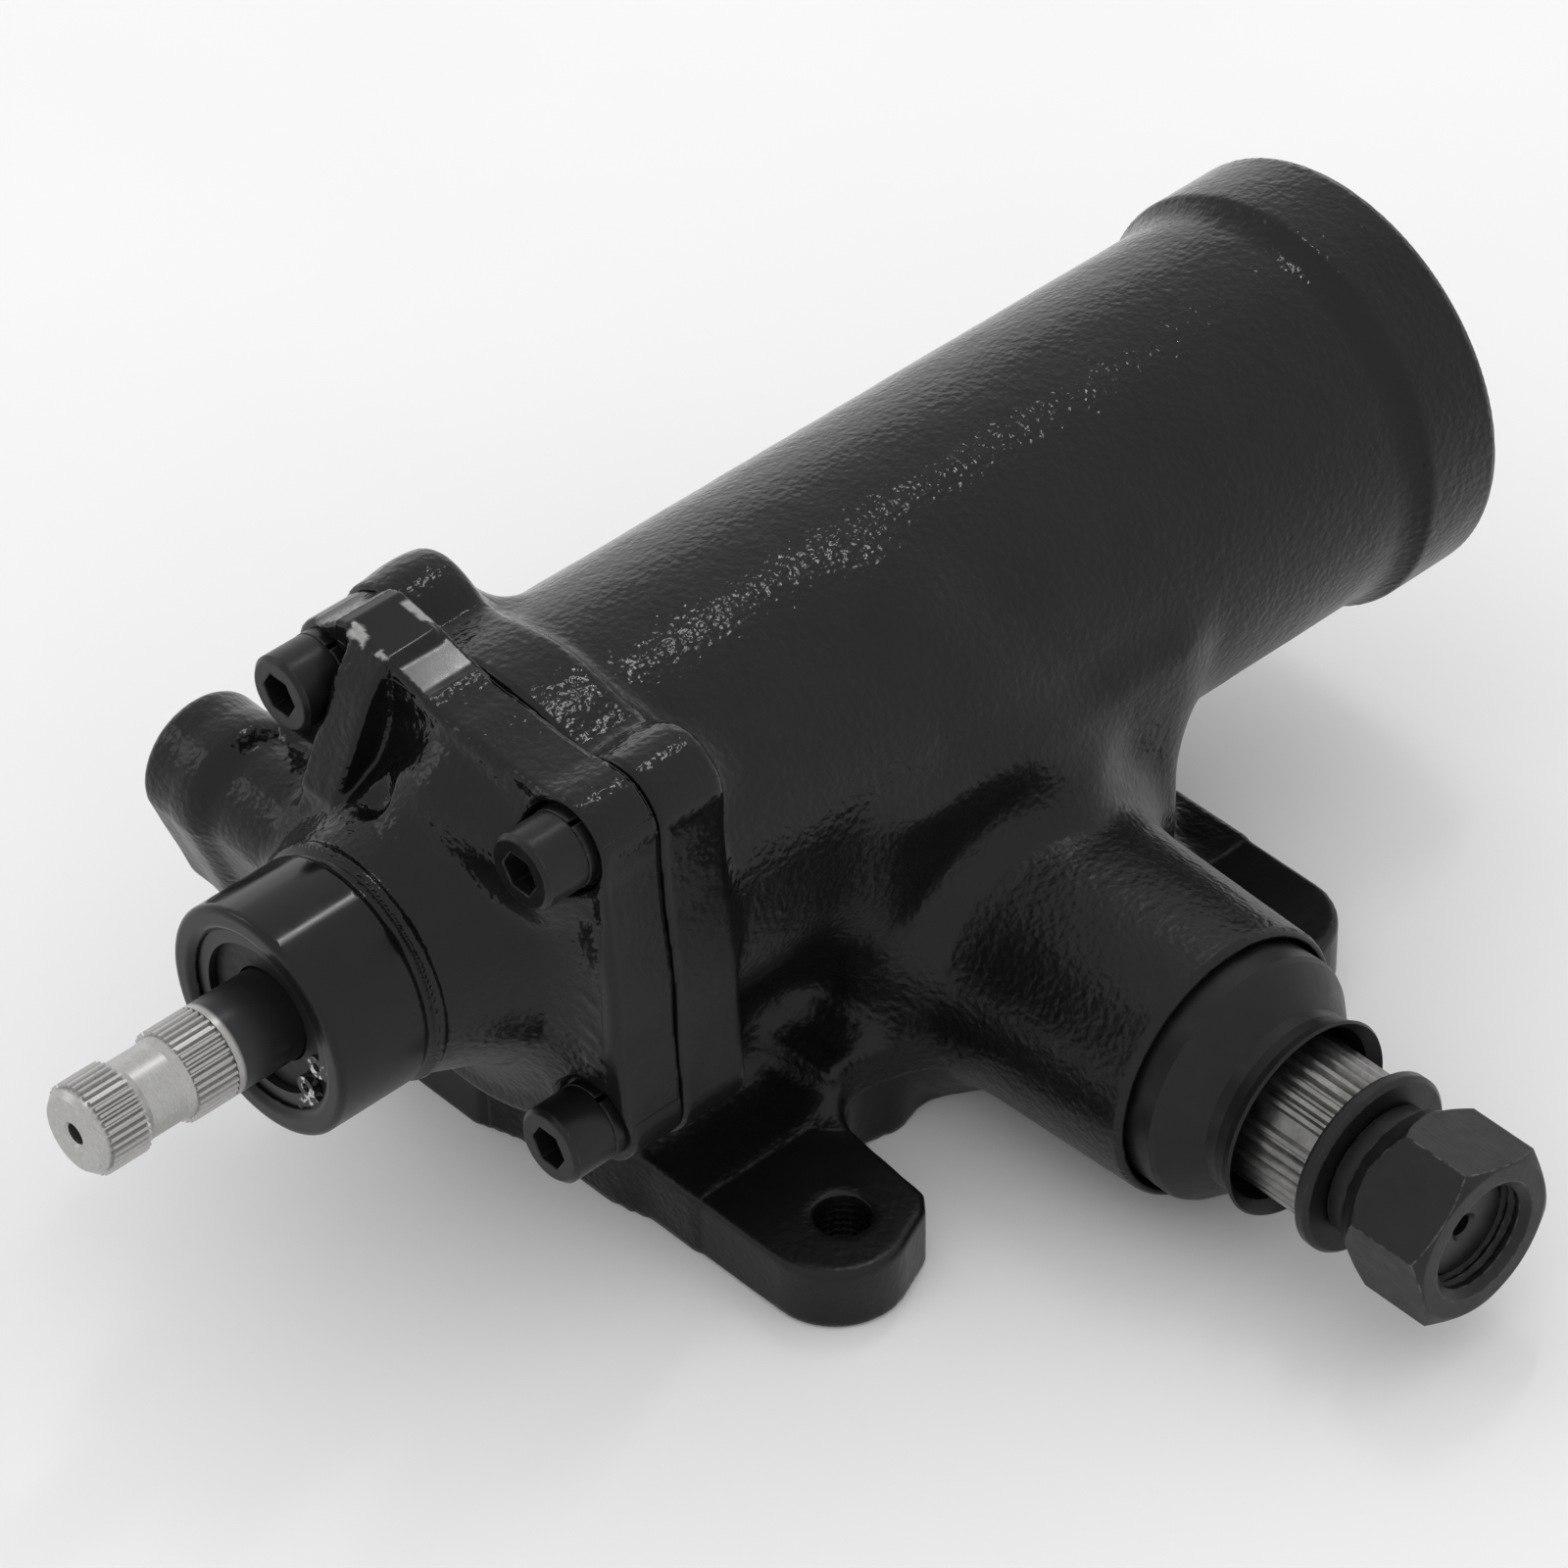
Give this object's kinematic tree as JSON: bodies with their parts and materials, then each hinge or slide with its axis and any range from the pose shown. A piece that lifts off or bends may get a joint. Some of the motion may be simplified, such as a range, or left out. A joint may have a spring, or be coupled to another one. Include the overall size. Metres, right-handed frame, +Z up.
{
  "type": "steering gearbox",
  "caption": "Integral worm and ball-nut power steering gearbox: splined input stub, valve housing, rack-piston cylinder and a splined sector shaft with nut at right angles.",
  "frame": {"origin": "on the plane of the mounting pads, straight below the point where the worm axis and the sector-shaft axis cross in plan", "axes": "+X along the sector shaft out of its splined end, +Y along the worm axis to the closed rear end (the input shaft points to -Y), +Z up from the mounting pads to the worm"},
  "size_m": [0.248, 0.3305, 0.1282],
  "materials": {
    "housing_black": "semi-gloss black paint over a cast surface",
    "screw_black": "satin black",
    "nut_black": "satin black, worn edges",
    "rubber_black": "matt",
    "rubber_seal_painted": "satin, painted over",
    "bright_steel": "machined",
    "machined_steel": "machined",
    "dark_steel": "machined, oiled",
    "bearing_steel": "ground",
    "spring_steel": "oiled spring steel",
    "brass_seat": "machined",
    "ptfe_grey": "smooth",
    "gasket_grey": "fibre sheet"
  },
  "bodies": {
    "housing": {"main_housing": "housing_black", "valve_housing": "housing_black", "valve_housing_screws": "screw_black", "valve_housing_lock_washers": "screw_black", "valve_housing_seal": "rubber_black", "port_seats": "brass_seat", "input_dust_seal": "rubber_black", "input_retaining_ring": "spring_steel", "input_oil_seal": "rubber_black", "input_needle_bearing": "bearing_steel", "worm_thrust_bearings": "bearing_steel", "worm_bearing_nut": "machined_steel", "adjuster_screw": "machined_steel", "adjuster_lock_nut": "machined_steel", "side_cover": "housing_black", "side_cover_gasket": "gasket_grey", "side_cover_bolts": "screw_black", "sector_bearing_cover": "bearing_steel", "sector_bearing_output": "bearing_steel", "sector_oil_seal": "rubber_black", "sector_seal_washer": "machined_steel", "sector_retaining_ring": "spring_steel", "sector_dust_seal": "rubber_seal_painted", "rear_end_plug": "housing_black", "rear_plug_seal": "rubber_black", "rear_retaining_ring": "spring_steel"},
    "input": {"stub_shaft": "bright_steel", "stub_pin": "machined_steel", "torsion_bar": "machined_steel"},
    "worm": {"worm_shaft": "machined_steel", "valve_sleeve": "machined_steel", "sleeve_seal_rings": "ptfe_grey"},
    "rack": {"rack_piston": "machined_steel", "piston_ring": "ptfe_grey", "piston_end_plug": "machined_steel", "recirculating_balls": "bearing_steel", "ball_return_guide": "machined_steel", "ball_guide_clamp": "machined_steel", "guide_clamp_screws": "machined_steel"},
    "sector": {"sector_shaft": "dark_steel", "output_lock_washer": "screw_black", "output_nut": "nut_black"}
  },
  "joints": [
    {"name": "rack_slide", "type": "slide", "parent": "housing", "child": "rack", "axis": [0, 1, 0], "range_m": [-0.015, 0.015]},
    {"name": "worm_turn", "type": "hinge", "parent": "housing", "child": "worm", "pos_m": [0, 0, 0.076], "axis": [0, 1, 0], "range_deg": [-568.9, 568.9]},
    {"name": "sector_swing", "type": "hinge", "parent": "housing", "child": "sector", "pos_m": [0, 0, 0.03], "axis": [1, 0, 0], "range_deg": [-35.9, 35.9]},
    {"name": "stub_twist", "type": "hinge", "parent": "worm", "child": "input", "pos_m": [0, 0, 0.076], "axis": [0, 1, 0], "range_deg": [-6, 6], "stiffness_Nm_per_rad": 90}
  ],
  "couplings": [
    {"joint": "worm_turn", "follows": "rack_slide", "rad_per_m": -661.39},
    {"joint": "sector_swing", "follows": "rack_slide", "rad_per_m": -41.667}
  ]
}
